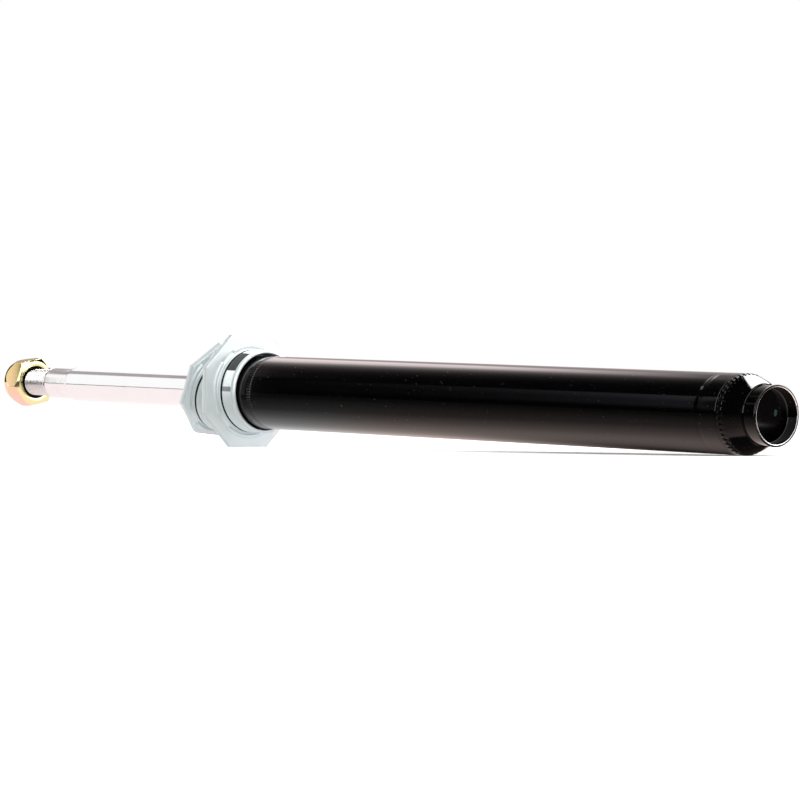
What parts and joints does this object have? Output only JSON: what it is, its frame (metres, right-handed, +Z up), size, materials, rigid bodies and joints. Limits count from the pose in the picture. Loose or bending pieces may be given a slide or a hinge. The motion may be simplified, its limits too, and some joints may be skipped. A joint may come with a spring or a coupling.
{
  "type": "shock absorber",
  "caption": "Twin-tube strut-insert damper: painted tube with a coned foot and locating spigot, chrome rod with a threaded end and nut, and loose eight-sided gland nuts.",
  "frame": {"origin": "on the damper's axis at the root of the locating spigot, where the base cup's cone starts", "axes": "+X along the axis towards the rod end, +Z up as the damper lies, +Y to the left of the rod"},
  "size_m": [0.6598, 0.065, 0.065],
  "materials": {
    "black_paint": "gloss black enamel on steel",
    "chrome": "hard chrome, ground and polished",
    "yellow_zinc": "yellow chromated zinc on steel",
    "bright_zinc": "blue-bright zinc on steel",
    "plain_steel": "machined, oiled",
    "spring_steel": "tempered, oiled",
    "aluminium": "die cast, machined",
    "bronze": "sintered bronze, oiled",
    "sintered_iron": "sintered, steam treated",
    "seal_rubber": "moulded nitrile rubber",
    "polymer": "filled polymer"
  },
  "bodies": {
    "damper_body": {"outer_tube": "black_paint", "base_cup": "black_paint", "locating_spigot": "black_paint", "pressure_tube": "plain_steel", "seal_retainer": "plain_steel", "foot_valve_bolt": "plain_steel", "foot_valve_nut": "plain_steel", "seal_spring": "spring_steel", "foot_valve_discs": "spring_steel", "foot_check_spring": "spring_steel", "rod_guide": "aluminium", "guide_bush": "bronze", "foot_valve_body": "sintered_iron", "rod_seal": "seal_rubber", "guide_o_ring": "seal_rubber"},
    "rod": {"piston_rod": "chrome", "rod_nut": "yellow_zinc", "piston": "sintered_iron", "piston_check_spring": "spring_steel", "spring_washer": "plain_steel", "rebound_discs": "spring_steel", "clamp_washer": "plain_steel", "piston_nut": "plain_steel", "stop_clip": "plain_steel", "rebound_stop_collar": "plain_steel", "rebound_cushion": "polymer"},
    "piston_band": {"piston_band": "polymer"},
    "piston_check_plate": {"piston_check_plate": "spring_steel"},
    "foot_check_plate": {"foot_check_plate": "spring_steel"},
    "lower_gland_nut": {"lower_gland_nut": "bright_zinc"},
    "upper_gland_nut": {"upper_gland_nut": "bright_zinc"}
  },
  "joints": [
    {"name": "rod_stroke", "type": "slide", "parent": "damper_body", "child": "piston_band", "axis": [1, 0, 0], "range_m": [-0.15, 0]},
    {"name": "rod_turn", "type": "hinge", "parent": "piston_band", "child": "rod", "pos_m": [0.3, 0, 0], "axis": [1, 0, 0], "continuous": true},
    {"name": "lower_gland_turn", "type": "hinge", "parent": "damper_body", "child": "lower_gland_nut", "pos_m": [0.4194, 0, 0.0005], "axis": [1, 0, 0], "continuous": true},
    {"name": "upper_gland_slide", "type": "slide", "parent": "damper_body", "child": "upper_gland_nut", "axis": [1, 0, 0], "range_m": [0, 0.024]},
    {"name": "piston_check_lift", "type": "slide", "parent": "rod", "child": "piston_check_plate", "axis": [1, 0, 0], "range_m": [0, 0.0012], "stiffness_N_per_m": 1500, "springref_m": -0.002, "deforming": ["piston_check_spring"]},
    {"name": "foot_check_lift", "type": "slide", "parent": "damper_body", "child": "foot_check_plate", "axis": [1, 0, 0], "range_m": [0, 0.0012], "stiffness_N_per_m": 1500, "springref_m": -0.002, "deforming": ["foot_check_spring"]}
  ]
}
